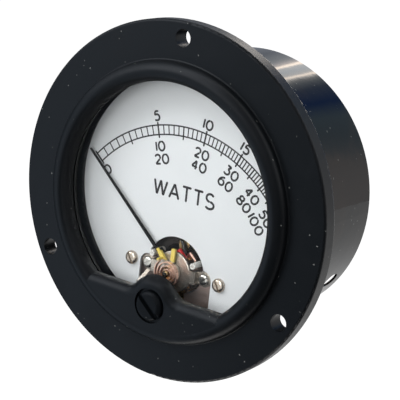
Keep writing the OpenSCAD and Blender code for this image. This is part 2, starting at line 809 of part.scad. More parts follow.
// Zero setting
module zero_lever() {
    color("#d6b648") at_pivot() difference() {
        union() {
            slab(lever_front, lever_back) difference() {
                union() {
                    circle(lever_ring_r);
                    box(-lever_arm_w / 2, -fork_reach, lever_arm_w / 2, 0);
                    box(-fork_w / 2, -fork_reach - fork_past_pin, fork_w / 2, fork_before_pin - fork_reach);
                    for (a = prong_angles) rotate(-a) box(-prong_w / 2, 0, prong_w / 2, prong_r);
                }
                box(-pin_r - fork_clear, -past_case, pin_r + fork_clear, fork_slot_before_pin - fork_reach);
            }
            rotate([0, prong_angles[0], 0]) {
                slab(lever_front, lever_front + prong_tip_t)
                    box(-prong_tip_w / 2, prong_r - 1, prong_tip_w / 2, prong_r + prong_tip_len);
                rod(spring_stud_r, spring_front, lever_back, 0, spring_stud_at);
            }
        }
        rod(bush_r + run_gap, lever_front - 1, lever_back + 1);
    }
}
module front_spring() {
    color("#c17a45") at_pivot() slab(spring_front, spring_back)
        spiral_strip(collet_r + spring_t / 2 + push_gap, spring_r, spring_turns, prong_angles[0]);
}
module zero_adjuster() {
    head_back = bridge_face + recess_depth - run_gap;
    color("#16181a") translate([0, 0, adjuster_z]) {
        difference() {
            turned() difference() {
                rounded_box(-adjuster_d / 2, adjuster_front, adjuster_d / 2, head_back + 2, 1.1);
                box(-adjuster_d, adjuster_front - 1, 0, head_back + 3);
                box(-1, head_back, adjuster_d, head_back + 3);
            }
            rotate([0, adjuster_slot_angle, 0])
                translate([-adjuster_slot_w / 2, adjuster_front - 1, -adjuster_d])
                    cube([adjuster_slot_w, 1 + adjuster_slot_depth, 2 * adjuster_d]);
        }
        rod(adjuster_shaft_r, head_back - 0.5, shaft_back);
        rod(pin_r, shaft_back - 0.2, pin_back, 0, -eccentric);
    }
}
module adjuster_clip() {
    color("#8f9092") translate([0, 0, adjuster_z]) slab(clip_front, clip_front + clip_t) difference() {
        circle(clip_r);
        circle(adjuster_shaft_r + push_gap);
        box(-clip_slot_w / 2, 0, clip_slot_w / 2, clip_r + 1);
    }
}

// Back
module at_pillars() { both_sides(pillar_x) translate([0, 0, pillar_z]) children(); }
module at_terminals() { both_sides(terminal_span / 2) children(); }
module movement_pillars() {
    color("#b9b6ae") at_pillars() bored_rod(pillar_r, movement_screw_r + push_gap, pole_back, base_front);
}
module movement_screws() {
    shank_len = base_t + pillar_len + screw_bite;
    color("#cfccc4") at_pillars() translate([0, base_back, 0]) rotate([0, 0, 180])
        slotted_screw(movement_head_r, movement_head_t, movement_screw_r, shank_len, 15);
}
module rear_base() {
    color("#2b2420") difference() {
        union() {
            turned() difference() {
                rounded_box(-base_r, base_front, base_r, base_back, 0.5);
                box(-past_case, base_front - 1, 0, base_back + 1);
            }
            at_terminals() rod(boss_r, base_back - 1, base_back + boss_h);
        }
        at_terminals() rod(stud_r + run_gap, base_front - 1, base_back + boss_h + 1);
        at_pillars() rod(movement_screw_r + run_gap, base_front - 1, base_back + 1);
        for (a = bolt_angles) wall_cut(a, case_screw_y, case_screw_r + push_gap, case_screw_r + push_gap,
            barrel_d / 2 - case_screw_len - 0.3, barrel_d / 2);
    }
}
module case_screws() {
    outer = barrel_d / 2;
    inner = outer - barrel_wall;
    head_r = case_screw_head_r - run_gap;
    color("#3a3c3e") for (a = bolt_angles) {
        wall_cut(a, case_screw_y, case_screw_r, case_screw_r, outer - case_screw_len, inner + barrel_wall / 4);
        wall_cut(a, case_screw_y, case_screw_r - run_gap, head_r, inner, outer - run_gap);
    }
}
module terminal_studs() {
    color("#c8a45c") at_terminals() {
        rod(stud_r, base_front - 0.2, stud_back);
        translate([0, base_front - stud_head_t, 0]) rotate([-90, 0, 0])
            cylinder(h = stud_head_t, r = stud_head_r, $fn = 6);
    }
}
module terminal_washers() {
    front = base_back + boss_h;
    color("#cfccc4") at_terminals() bored_rod(washer_r, stud_r + run_gap, front, front + washer_t);
}
module terminal_nuts() {
    front = base_back + boss_h + washer_t;
    color("#c8a45c") at_terminals() for (k = [0, 1]) difference() {
        translate([0, front + k * (nut_t + nut_apart), 0]) rotate([-90, 0, 0])
            cylinder(h = nut_t, r = nut_r, $fn = 6);
        rod(stud_r + push_gap, front - 1, front + 3 * nut_t);
    }
}
module red_lead() { color("#b3161c") lead(rear_route); }
module black_lead() { color("#1a1a1a") lead(front_route); }

front_case();
barrel_can();
window_glass();
glass_ring();
dial_plate();
dial_screws();
dial_posts();
front_bridge();
bridge_screws();
bridge_pillars();
front_bush();
front_jewel();
stop_posts();
stop_sleeves();
left_pole();
right_pole();
magnet();
iron_core();
core_spacers();
core_screws();
rear_bridge();
rear_bridge_screws();
rear_jewel();
rear_spring();
movement_pillars();
movement_screws();
rear_base();
case_screws();
terminal_studs();
terminal_washers();
terminal_nuts();
red_lead();
black_lead();
pointer();
balance_cross();
balance_weights();
moving_coil();
coil_sleeve();
coil_former();
front_staff();
rear_staff();
front_collet();
rear_collet();
zero_lever();
front_spring();
zero_adjuster();
adjuster_clip();
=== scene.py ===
"""Panel meter: finishes, dial printing, terminal threads, studio and camera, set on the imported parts."""

import json
import math

import bpy
import numpy as np
from bpy.props import FloatProperty, FloatVectorProperty, PointerProperty
from mathutils import Matrix, Vector


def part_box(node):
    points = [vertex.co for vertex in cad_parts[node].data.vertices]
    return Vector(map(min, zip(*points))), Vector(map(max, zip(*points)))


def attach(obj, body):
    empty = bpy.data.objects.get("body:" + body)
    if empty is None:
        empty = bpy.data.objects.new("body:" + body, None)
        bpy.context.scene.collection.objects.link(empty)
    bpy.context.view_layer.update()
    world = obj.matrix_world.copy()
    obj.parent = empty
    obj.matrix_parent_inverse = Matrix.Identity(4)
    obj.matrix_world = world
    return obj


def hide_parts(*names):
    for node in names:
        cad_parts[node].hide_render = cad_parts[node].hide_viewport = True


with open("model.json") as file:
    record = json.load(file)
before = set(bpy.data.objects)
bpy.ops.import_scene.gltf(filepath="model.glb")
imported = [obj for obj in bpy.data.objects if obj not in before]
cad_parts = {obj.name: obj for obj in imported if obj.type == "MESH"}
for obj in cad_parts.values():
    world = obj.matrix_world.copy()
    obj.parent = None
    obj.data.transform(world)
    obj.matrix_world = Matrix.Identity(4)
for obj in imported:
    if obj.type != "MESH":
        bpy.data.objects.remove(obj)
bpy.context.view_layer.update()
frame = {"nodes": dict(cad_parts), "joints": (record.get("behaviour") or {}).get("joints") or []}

bl_info = {
    "name": "Panel Meter Finish",
    "version": (1, 0, 0),
    "blender": (4, 5, 0),
    "location": "View3D > Sidebar > Meter",
    "description": "Dresses a round panel meter and sets up its studio",
    "category": "Object",
}

MM = 0.001
NODES = frame["nodes"]
DIAL_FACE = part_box("dial_plate")[0].y
JOINTS = {joint["name"]: joint for joint in frame["joints"]}
PIVOT = Vector(JOINTS["pointer_swing"]["pos_m"])
# Degrees that the pointer and its coil lean to the left at rest
REST_TURN = 49


# Settings


def length(name, description, default):
    """A size in metres."""
    return FloatProperty(name=name, description=description, default=default, unit="LENGTH", precision=5)


def angle(name, description, degrees):
    """An angle, given in degrees."""
    turn = math.radians(degrees)
    return FloatProperty(name=name, description=description, default=turn, subtype="ANGLE")


def power(name, description, watts):
    """A lamp's power in watts."""
    return FloatProperty(name=name, description=description, default=watts, unit="POWER")


def number(name, description, default):
    """A plain number."""
    return FloatProperty(name=name, description=description, default=default)


def colour(name, description, rgb):
    """A linear colour."""
    return FloatVectorProperty(
        name=name, description=description, default=rgb, size=3, subtype="COLOR", min=0, max=1
    )


class StageSettings(bpy.types.PropertyGroup):
    """Camera, lamps, floor and sky."""

    azimuth: angle("Azimuth", "Turn of the camera round the meter, from straight in front", 33.916)
    elevation: angle("Elevation", "Height of the camera above the meter's axis", 15.603)
    roll: angle("Roll", "Turn of the camera about its own axis", 6.115)
    distance: length("Distance", "From the camera to the point that it looks at", 0.351492)
    target: FloatVectorProperty(
        name="Target",
        description="Point that the camera looks at",
        default=(0.007196, -0.0007, 0.002125),
        subtype="TRANSLATION",
        unit="LENGTH",
        precision=5,
    )
    lens: FloatProperty(
        name="Lens", description="Focal length in millimetres", default=131.92, unit="CAMERA"
    )
    floor_drop: length("Floor drop", "Depth of the floor below the meter's axis", 0.6)
    sky: number("Sky", "Soft light from all round", 0.36)
    key_power: power("Key", "Power of the lamp at the upper left", 2.0)
    top_power: power("Top", "Power of the lamp above the front", 1.7)
    fill_power: power("Fill", "Power of the lamp straight in front", 2.25)
    back_power: power("Back", "Power of the lamp behind", 2.5)


class CaseSettings(bpy.types.PropertyGroup):
    """Mouldings, can, glass ring and case screws."""

    moulding: colour("Moulding", "Colour of the moulded front", (0.0034, 0.0045, 0.0058))
    wall_r: length("Wall radius", "Radius inside which the bezel's wall is matt", 31.6 * MM)
    wall_rough: number("Wall roughness", "Roughness of the bezel's inner wall", 0.78)
    enamel: colour("Enamel", "Colour of the can's gloss enamel", (0.0045, 0.005, 0.006))
    wear: colour("Wear", "Colour of the enamel where it is worn", (0.012, 0.009, 0.008))
    dust: colour("Dust", "Colour of the dust specks", (0.125, 0.13, 0.125))
    dust_spacing: length("Dust spacing", "Distance between the places where a speck may lie", 2.6 * MM)
    ring: colour("Ring", "Colour of the glass ring's matt blacking", (0.008, 0.008, 0.009))
    screw: colour("Screw", "Colour of the case screws' blacking", (0.03, 0.03, 0.032))


class DialSettings(bpy.types.PropertyGroup):
    """Dial paint, pointer and printing."""

    paint: colour("Paint", "Colour of the dial", (0.80, 0.81, 0.825))
    pointer: colour("Pointer", "Colour of the pointer", (0.003, 0.003, 0.003))
    ink: colour("Ink", "Colour of the printing", (0.006, 0.006, 0.008))
    ink_t: length("Ink thickness", "Height of the ink above the paint", 0.02 * MM)
    outer_r: length("Outer arc", "Radius of the scale's outer arc", 36.4 * MM)
    inner_r: length("Inner arc", "Radius of the scale's inner arc", 34.05 * MM)
    zero_at: angle("Zero", "Angle of the zero mark from upright", -REST_TURN)
    sweep: angle("Sweep", "Angle of the whole scale", 100)
    crowding: number("Crowding", "How strongly the marks close up towards full scale", 3.0)
    digit_h: length("Digit height", "Height of the numbers", 2.78 * MM)
    digit_wide: number("Digit width", "Width of the numbers, as a share of their plain width", 1.12)
    digit_line: length("Digit line", "Width of the numbers' strokes", 0.52 * MM)
    word_h: length("Word height", "Height of the unit's name", 4.3 * MM)
    word_line: length("Word line", "Width of the strokes of the unit's name", 0.60 * MM)


class MovementSettings(bpy.types.PropertyGroup):
    """Metals and other finishes of the movement."""

    nickel: colour("Nickel", "Colour of the plated bridge", (0.46, 0.42, 0.37))
    steel: colour("Steel", "Colour of posts and screws", (0.62, 0.60, 0.56))
    iron: colour("Iron", "Colour of the poles and the core", (0.94, 0.72, 0.65))
    # Painted shadow on the poles towards their lower edge, and their darker colour up inside the arch
    dark_and_shadow: colour("Darkened", "Colour of the poles where age has darkened them", (0.018, 0.013, 0.010))
    brass: colour("Brass", "Colour of turned brass", (0.62, 0.43, 0.22))
    lever: colour("Lever", "Colour of the zero lever's lacquer", (0.80, 0.62, 0.13))
    lacquer_from: length("Lacquer from", "Height above the pivot where the lacquer begins", 2.6 * MM)
    screw: colour("Screw", "Colour of the dial's screws", (0.52, 0.45, 0.38))
    copper: colour("Copper", "Colour of springs and winding", (0.82, 0.54, 0.44))
    arm: colour("Arm", "Colour of the balance cross", (0.80, 0.34, 0.12))
    foil: colour("Foil", "Colour of the coil's former", (0.3, 0.29, 0.28))
    tarnish: colour("Tarnish", "Colour that the metals take in patches", (0.16, 0.09, 0.05))
    magnet: colour("Magnet", "Colour of the cast magnet", (0.035, 0.033, 0.033))
    jewel: colour("Jewel", "Colour of the bearing jewels", (0.45, 0.02, 0.05))
    jewel_deep: colour("Jewel depth", "Colour of the jewels where they look deep", (0.2, 0.005, 0.02))
    sleeve: colour("Sleeve", "Colour of the stops' sleeves", (0.92, 0.90, 0.85))
    red: colour("Red", "Colour of the red insulation", (0.85, 0.012, 0.02))
    black: colour("Black", "Colour of the black insulation", (0.012, 0.012, 0.012))


class BackSettings(bpy.types.PropertyGroup):
    """Back plate and terminals."""

    board: colour("Board", "Colour of the laminated back plate", (0.035, 0.020, 0.013))
    stud_d: length("Stud diameter", "Diameter over the terminal's thread", 4.8 * MM)
    thread_pitch: length("Thread pitch", "Distance between the thread's turns", 0.794 * MM)
    thread_depth: length("Thread depth", "Depth of the thread", 0.42 * MM)


# Node tools


def put(tree, kind, inputs=None, **settings):
    """Adds a node, sets its properties, and sets or links its inputs."""
    new = tree.nodes.new(kind)
    for key, value in settings.items():
        setattr(new, key, value)
    for key, value in (inputs or {}).items():
        if isinstance(value, bpy.types.NodeSocket):
            tree.links.new(value, new.inputs[key])
        else:
            new.inputs[key].default_value = value
    return new


def math_node(tree, operation, first, second):
    """One Math node's result."""
    return put(tree, "ShaderNodeMath", {0: first, 1: second}, operation=operation).outputs[0]


def ramp(tree, value, low, high, to_low=0.0, to_high=1.0):
    """A value carried evenly from one range to another, and held at the ends."""
    inputs = {"Value": value, "From Min": low, "From Max": high, "To Min": to_low, "To Max": to_high}
    return put(tree, "ShaderNodeMapRange", inputs).outputs["Result"]


def height_of(tree, where):
    """The height, along Z, of a place."""
    return put(tree, "ShaderNodeSeparateXYZ", {0: where}).outputs["Z"]


def mix_colour(tree, factor, first, second):
    """Two colours mixed by a factor."""
    new = put(tree, "ShaderNodeMix", data_type="RGBA")
    for index, value in ((0, factor), (6, first), (7, second)):
        if isinstance(value, bpy.types.NodeSocket):
            tree.links.new(value, new.inputs[index])
        elif index:
            new.inputs[index].default_value = (*value, 1)
        else:
            new.inputs[index].default_value = value
    return new.outputs[2]


def shader_group(name, inputs, output):
    """An empty node group with float inputs besides its Vector, and one float output."""
    tree = bpy.data.node_groups.new(name, "ShaderNodeTree")
    tree.interface.new_socket("Vector", in_out="INPUT", socket_type="NodeSocketVector")
    for key, default in inputs.items():
        socket = tree.interface.new_socket(key, in_out="INPUT", socket_type="NodeSocketFloat")
        socket.default_value = default
    tree.interface.new_socket(output, in_out="OUTPUT", socket_type="NodeSocketFloat")
    return tree, tree.nodes.new("NodeGroupInput").outputs, tree.nodes.new("NodeGroupOutput").inputs


def dust_group():
    """Sparse specks: near the middle of a few cells, at ragged edges, the mask rises to 1."""
    tree, given, result = shader_group("Dust", {"Spacing": 0.0026, "Size": 0.1, "Share": 0.3}, "Mask")
    scale = math_node(tree, "DIVIDE", 1.0, given["Spacing"])
    ragged = math_node(tree, "MULTIPLY", scale, 6.0)
    noise = put(tree, "ShaderNodeTexNoise", {"Vector": given["Vector"], "Scale": ragged, "Detail": 1.0})
    cells = put(tree, "ShaderNodeTexVoronoi", {"Vector": given["Vector"], "Scale": scale})
    jitter = ramp(tree, noise.outputs[0], 0.3, 0.7, -0.06, 0.06)
    far = math_node(tree, "ADD", cells.outputs["Distance"], jitter)
    edge = math_node(tree, "MULTIPLY", given["Size"], 0.6)
    near = ramp(tree, far, given["Size"], edge)
    pick = put(tree, "ShaderNodeSeparateColor", {0: cells.outputs["Color"]})
    chosen = math_node(tree, "LESS_THAN", pick.outputs[0], given["Share"])
    tree.links.new(math_node(tree, "MULTIPLY", near, chosen), result["Mask"])
    return tree


def grain_group():
    """Fine even grain of the size given, from 0 to 1."""
    tree, given, result = shader_group("Grain", {"Size": 0.0003, "Detail": 3.0}, "Value")
    scale = math_node(tree, "DIVIDE", 1.0, given["Size"])
    inputs = {"Vector": given["Vector"], "Scale": scale, "Detail": given["Detail"]}
    noise = put(tree, "ShaderNodeTexNoise", inputs)
    tree.links.new(ramp(tree, noise.outputs[0], 0.25, 0.75), result["Value"])
    return tree


def blotch_group():
    """Soft patches of the size given: 1 within a patch, 0 away from it, with Amount setting how many."""
    tree, given, result = shader_group("Blotch", {"Size": 0.002, "Amount": 0.5}, "Mask")
    scale = math_node(tree, "DIVIDE", 1.0, given["Size"])
    inputs = {"Vector": given["Vector"], "Scale": scale, "Detail": 4.0, "Distortion": 0.6}
    noise = put(tree, "ShaderNodeTexNoise", inputs)
    start = math_node(tree, "SUBTRACT", 0.75, math_node(tree, "MULTIPLY", given["Amount"], 0.5))
    stop = math_node(tree, "ADD", start, 0.18)
    tree.links.new(ramp(tree, noise.outputs[0], start, stop), result["Mask"])
    return tree


GROUP_MAKERS = {"Dust": dust_group, "Grain": grain_group, "Blotch": blotch_group}


def use(tree, name, vector, **values):
    """Places a shared group, made at its first use, and gives its output."""
    new = tree.nodes.new("ShaderNodeGroup")
    new.node_tree = bpy.data.node_groups.get(name) or GROUP_MAKERS[name]()
    tree.links.new(vector, new.inputs["Vector"])
    for key, value in values.items():
        new.inputs[key].default_value = value
    return new.outputs[0]


# Materials

# Width over which the bezel's matt wall turns satin, and heights from the pivot where it begins
WALL_EDGE = 1.0 * MM
WALL_FOOT = (-2.5 * MM, -0.5 * MM)
# Heights from the pivot between which a pole darkens, up into the arch
ARCH_DARK = (-0.5 * MM, 2.5 * MM)
# Painted shadow on a pole: heights from the pivot between which it deepens down to the lower edge, and its
# most
EDGE_SHADOW = (-1.0 * MM, -5.0 * MM)
EDGE_SHADOW_MOST = 0.62
# How far the edge of the lever's lacquer wanders, and how soft it is
LACQUER_WANDER = 0.3 * MM
LACQUER_EDGE = 0.4 * MM
# Scale of the bands that stand for the coil's wires
WIRE_BANDS = 1800.0
# Share of the tarnish's own colour in a tarnished patch
STAIN = 0.55
# Scale of a metal's marks along each axis: even, drawn along the meter's axis, or drawn across it
EVEN = (1, 1, 1)
ALONG = (1, 0.2, 1)
ACROSS = (0.15, 1, 1)


def blank(name, **sockets):
    """A new material: its tree, its Principled shader and its object coordinates.

    The shader's plain values are given by the names of its inputs, with _ for a space.
    """
    material = bpy.data.materials.new(name)
    material.use_nodes = True
    tree = material.node_tree
    shader = tree.nodes["Principled BSDF"]
    for key, value in sockets.items():
        shader.inputs[key.replace("_", " ")].default_value = value
    return material, tree, shader, put(tree, "ShaderNodeTexCoord").outputs["Object"]


def feed(tree, shader, **sockets):
    """Links values to the shader's inputs, given by name with _ for a space."""
    for key, value in sockets.items():
        tree.links.new(value, shader.inputs[key.replace("_", " ")])


def shaded(rgb, share):
    """A colour with every channel multiplied by a share."""
    return tuple(share * channel for channel in rgb)


def bump(tree, shader, height, depth):
    """Feeds a height of that depth in metres to the shader's normal."""
    inputs = {"Strength": 1.0, "Distance": depth, "Height": height}
    feed(tree, shader, Normal=put(tree, "ShaderNodeBump", inputs).outputs[0])


def dusty(tree, shader, where, base, settings, size, share, spread):
    """Base colour with dust specks on it."""
    spacing = settings.dust_spacing * spread
    specks = use(tree, "Dust", where, Spacing=spacing, Size=size, Share=share)
    feed(tree, shader, Base_Color=mix_colour(tree, specks, base, settings.dust))


def rising(tree, where, rises, most=1.0):
    """A value that goes from 0 at one height from the pivot to its most at another."""
    low, high = (PIVOT.z + rise for rise in rises)
    return ramp(tree, height_of(tree, where), low, high, 0.0, most)


def inner_wall(tree, where, settings):
    """Mask of the bezel's inner wall: a ring about the meter's axis, above the bridge."""
    across = put(tree, "ShaderNodeVectorMath", {0: where, 1: (1, 0, 1)}, operation="MULTIPLY").outputs[0]
    radius = put(tree, "ShaderNodeVectorMath", {0: across}, operation="LENGTH").outputs["Value"]
    within = ramp(tree, radius, settings.wall_r, settings.wall_r - WALL_EDGE)
    return math_node(tree, "MINIMUM", within, rising(tree, where, WALL_FOOT))


def moulding_material(settings, name, rough, share, shine=0.46):
    """Satin black moulding: fine grain, a rougher bloom in patches, a matt inner wall, and dust."""
    material, tree, shader, where = blank(name, IOR=1.5, Specular_IOR_Level=shine)
    bloom = use(tree, "Blotch", where, Size=0.011, Amount=0.5)
    satin = ramp(tree, bloom, 0.0, 1.0, rough - 0.03, rough + 0.05)
    matt = math_node(tree, "MULTIPLY", inner_wall(tree, where, settings), settings.wall_rough)
    feed(tree, shader, Roughness=math_node(tree, "MAXIMUM", satin, matt))
    dusty(tree, shader, where, settings.moulding, settings, size=0.085, share=share, spread=0.8)
    bump(tree, shader, use(tree, "Grain", where, Size=0.0004, Detail=3.0), depth=6e-6)
    return material


def enamel_material(settings):
    """Gloss black enamel with a slight orange peel, worn patches, fine dust and haze."""
    material, tree, shader, where = blank("can_enamel", IOR=1.5, Specular_IOR_Level=0.43)
    haze = use(tree, "Blotch", where, Size=0.006, Amount=0.45)
    feed(tree, shader, Roughness=ramp(tree, haze, 0.0, 1.0, 0.05, 0.09))
    worn = use(tree, "Blotch", where, Size=0.014, Amount=0.55)
    base = mix_colour(tree, worn, settings.enamel, settings.wear)
    dusty(tree, shader, where, base, settings, size=0.13, share=0.45, spread=0.7)
    bump(tree, shader, use(tree, "Grain", where, Size=0.003, Detail=2.0), depth=9e-6)
    return material


def paint_material(settings):
    """Satin white dial paint with a faint mottle."""
    material, tree, shader, where = blank("dial_paint", Roughness=0.48, Specular_IOR_Level=0.3)
    mottle = use(tree, "Grain", where, Size=0.009, Detail=2.0)
    paint = mix_colour(tree, mottle, settings.paint, shaded(settings.paint, 0.965))
    feed(tree, shader, Base_Color=paint)
    bump(tree, shader, use(tree, "Grain", where, Size=0.0003, Detail=2.0), depth=1.5e-6)
    return material


def plain_material(name, rgb, rough, grain=0.0004, depth=3e-6, vary=0.25, shine=0.5):
    """An even finish whose colour and height vary with a fine grain."""
    material, tree, shader, where = blank(name, Roughness=rough, Specular_IOR_Level=shine)
    value = use(tree, "Grain", where, Size=grain, Detail=2.0)
    feed(tree, shader, Base_Color=mix_colour(tree, value, rgb, shaded(rgb, 1 - vary)))
    bump(tree, shader, value, depth)
    return material


def metal_material(
    settings,
    name,
    rgb,
    rough,
    tarnish,
    stretch=ALONG,
    grain=0.0002,
    depth=3e-6,
    patch=0.0022,
    bare=1.0,
):
    """Metal with drawn or turned marks and tarnish in patches.

    The marks have the size grain and the height depth, drawn out by stretch. Tarnish says how much
    of the face its patches take, each of the size patch, and bare is the share that is metal.
    """
    material, tree, shader, where = blank(name, Metallic=bare)
    drawn = put(tree, "ShaderNodeMapping", {"Vector": where, "Scale": stretch}).outputs[0]
    marks = use(tree, "Grain", drawn, Size=grain, Detail=3.0)
    dull = use(tree, "Blotch", where, Size=patch, Amount=tarnish)
    pairs = zip(rgb, settings.tarnish)
    stained = tuple((1 - STAIN) * own + STAIN * tarnished for own, tarnished in pairs)
    feed(tree, shader, Base_Color=mix_colour(tree, dull, rgb, stained))
    feed(tree, shader, Roughness=ramp(tree, marks, 0.0, 1.0, rough - 0.08, rough + 0.12))
    bump(tree, shader, marks, depth)
    return material


def pole_material(settings):
    """Plated iron with soft streaks, darker inside the arch, with painted shadow towards the lower edge.
    """
    material = metal_material(
        settings,
        "pole_iron",
        settings.iron,
        rough=0.36,
        tarnish=0.5,
        stretch=ACROSS,
        patch=0.005,
        bare=0.35,
    )
    tree = material.node_tree
    shader = tree.nodes["Principled BSDF"]
    plated = shader.inputs["Base Color"].links[0].from_socket
    where = put(tree, "ShaderNodeTexCoord").outputs["Object"]
    above = rising(tree, where, ARCH_DARK)
    # Painted shadow, deepening towards the pole's lower edge
    edge_shadow = rising(tree, where, EDGE_SHADOW, EDGE_SHADOW_MOST)
    # The darker arch and the painted shadow, whichever is stronger
    arch_and_shadow = math_node(tree, "MAXIMUM", above, edge_shadow)
    feed(tree, shader, Base_Color=mix_colour(tree, arch_and_shadow, plated, settings.dark_and_shadow))
    return material


def lever_material(settings):
    """Plated lever whose prongs, above the pivot, are dipped in yellow lacquer."""
    material, tree, shader, where = blank("lever_lacquer", Roughness=0.36)
    edge = use(tree, "Grain", where, Size=0.0012, Detail=2.0)
    wander = ramp(tree, edge, 0.0, 1.0, -LACQUER_WANDER, LACQUER_WANDER)
    ragged = math_node(tree, "ADD", height_of(tree, where), wander)
    start = PIVOT.z + settings.lacquer_from
    dipped = ramp(tree, ragged, start, start + LACQUER_EDGE)
    lacquer = mix_colour(tree, dipped, settings.nickel, settings.lever)
    feed(tree, shader, Base_Color=lacquer)
    feed(tree, shader, Metallic=ramp(tree, dipped, 0.0, 1.0, 0.85, 0.0))
    bump(tree, shader, edge, depth=4e-6)
    return material


def winding_material(settings):
    """Enamelled copper wire laid side by side: bands across the coil's width, turned as it rests."""
    material, tree, shader, where = blank("coil_winding", Metallic=1.0, Roughness=0.3)
    rest = (0, math.radians(REST_TURN), 0)
    turned = put(tree, "ShaderNodeMapping", {"Vector": where, "Rotation": rest}).outputs[0]
    inputs = {"Vector": turned, "Scale": WIRE_BANDS, "Distortion": 0.6, "Detail": 1.0}
    wire = put(tree, "ShaderNodeTexWave", inputs, bands_direction="Z").outputs["Fac"]
    wires = mix_colour(tree, wire, shaded(settings.copper, 0.25), settings.copper)
    feed(tree, shader, Base_Color=wires)
    bump(tree, shader, wire, depth=2e-5)
    return material


def board_material(settings):
    """Laminated board: thin layers along its thickness and a mottled, slightly shiny face."""
    material, tree, shader, where = blank("back_board", Roughness=0.4)
    flat = put(tree, "ShaderNodeMapping", {"Vector": where, "Scale": (0.02, 1, 0.02)}).outputs[0]
    layers = use(tree, "Grain", flat, Size=0.0003, Detail=2.0)
    mottle = use(tree, "Grain", where, Size=0.004, Detail=4.0)
    fibre = math_node(tree, "MULTIPLY", layers, mottle)
    board = mix_colour(tree, fibre, settings.board, shaded(settings.board, 1.9))
    feed(tree, shader, Base_Color=board)
    bump(tree, shader, use(tree, "Grain", where, Size=0.0005, Detail=2.0), depth=4e-6)
    return material


def glass_material():
    """Clear window glass that lets lamplight and the dial's own light straight through."""
    material, tree, shader, _ = blank(
        "window_clear",
        Roughness=0.0,
        IOR=1.46,
        Transmission_Weight=1.0,
        Base_Color=(0.975, 0.985, 0.985, 1),
        Specular_Tint=(0.2, 0.2, 0.2, 1),
    )
    clear = put(tree, "ShaderNodeBsdfTransparent", {"Color": (0.95, 0.96, 0.96, 1)})
    path = put(tree, "ShaderNodeLightPath").outputs
    through = math_node(tree, "MAXIMUM", path["Is Shadow Ray"], path["Is Diffuse Ray"])
    mixed = put(tree, "ShaderNodeMixShader", {0: through, 1: shader.outputs[0], 2: clear.outputs[0]})
    tree.links.new(mixed.outputs[0], tree.nodes["Material Output"].inputs["Surface"])
    return material


def jewel_material(settings):
    """Polished red jewel."""
    material, tree, shader, where = blank("bearing_jewel", Roughness=0.05)
    depth = use(tree, "Grain", where, Size=0.0006, Detail=2.0)
    jewel = mix_colour(tree, depth, settings.jewel, settings.jewel_deep)
    feed(tree, shader, Base_Color=jewel)
    return material


def dress(material, *names):
    """Gives CAD nodes a finish through their material slots."""
    for name in names:
        for place in NODES[name].material_slots:
            place.material = material


# Mesh tools


def carried_faces(stations, sides, start):
    """Quads of a closed profile carried along stations, with an end face at each end.

    Points are numbered from start, round the profile at each station in turn.
    """
    row = np.arange(stations - 1)[:, None] * sides
    at = np.arange(sides)[None, :]
    after = (at + 1) % sides
    quads = np.stack([row + at, row + after, row + after + sides, row + at + sides], -1)
    quads = quads.reshape(-1, 4) + start
    first = np.arange(sides)[::-1] + start
    last = np.arange(sides) + (stations - 1) * sides + start
    return [*quads.tolist(), first.tolist(), last.tolist()]


def piece(name, grids, material, body, smooth=False):
    """A new mesh piece in place, riding on a body, with the material given.

    Each grid holds the points of one closed profile carried along a path, stations by sides.
    """
    points, faces, start = [], [], 0
    for grid in grids:
        stations, sides = grid.shape[:2]
        points.append(grid.reshape(-1, 3))
        faces += carried_faces(stations, sides, start)
        start += stations * sides
    mesh = bpy.data.meshes.new(name)
    mesh.from_pydata(np.concatenate(points).tolist(), [], faces)
    mesh.validate()
    mesh.materials.append(material)
    mesh.polygons.foreach_set("use_smooth", np.full(len(mesh.polygons), smooth))
    made = bpy.data.objects.new(name, mesh)
    bpy.context.scene.collection.objects.link(made)
    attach(made, body)
    return made


# Printing

# Stations along a sign's arc, along the scale's arcs and along a stroke's round end
ARC_STATIONS = 33
SCALE_STATIONS = 121
END_STATIONS = 6
# Distance from a stroke's end, in half widths, that sets how blunt the end is
END_LEAST = 0.01


def line(x0, y0, x1, y1):
    """A straight stroke."""
    return np.array([[x0, y0], [x1, y1]], float)


def arc(x, y, rx, ry, start, stop):
    """A stroke along an ellipse: angle in degrees, counter-clockwise from the right."""
    t = np.radians(np.linspace(start, stop, ARC_STATIONS))
    return np.stack([x + rx * np.cos(t), y + ry * np.sin(t)], 1)


# Each sign: its width, then its strokes, in a cell whose height is 1
SIGNS = {
    "0": (0.70, [arc(0.35, 0.5, 0.35, 0.5, 90, 450)]),
    "1": (0.0, [line(0, 0, 0, 1)]),
    "2": (0.58, [arc(0.29, 0.70, 0.29, 0.30, 165, -38), line(0.52, 0.52, 0, 0), line(0, 0, 0.58, 0)]),
    "3": (
        0.58,
        [line(0.05, 1, 0.55, 1), line(0.55, 1, 0.26, 0.62), arc(0.26, 0.31, 0.32, 0.31, 90, -145)],
    ),
    "4": (0.64, [line(0.46, 0, 0.46, 1), line(0.46, 1, 0, 0.30), line(0, 0.30, 0.64, 0.30)]),
    "5": (
        0.58,
        [line(0.52, 1, 0.10, 1), line(0.10, 1, 0.06, 0.54), arc(0.27, 0.33, 0.31, 0.33, 132, -140)],
    ),
    "6": (
        0.62,
        [arc(0.31, 0.32, 0.31, 0.32, 90, 450), arc(0.62, 0.36, 0.62, 0.64, 180, 100)],
    ),
    "8": (0.62, [arc(0.31, 0.76, 0.25, 0.24, 90, 450), arc(0.31, 0.27, 0.31, 0.27, 90, 450)]),
    "W": (
        1.04,
        [line(0, 1, 0.26, 0), line(0.26, 0, 0.52, 1), line(0.52, 1, 0.78, 0), line(0.78, 0, 1.04, 1)],
    ),
    "A": (0.78, [line(0, 0, 0.39, 1), line(0.39, 1, 0.78, 0), line(0.13, 0.32, 0.65, 0.32)]),
    "T": (0.72, [line(0, 1, 0.72, 1), line(0.36, 1, 0.36, 0)]),
    "S": (0.66, [arc(0.33, 0.74, 0.29, 0.26, 25, 270), arc(0.33, 0.24, 0.33, 0.24, 90, -155)]),
}


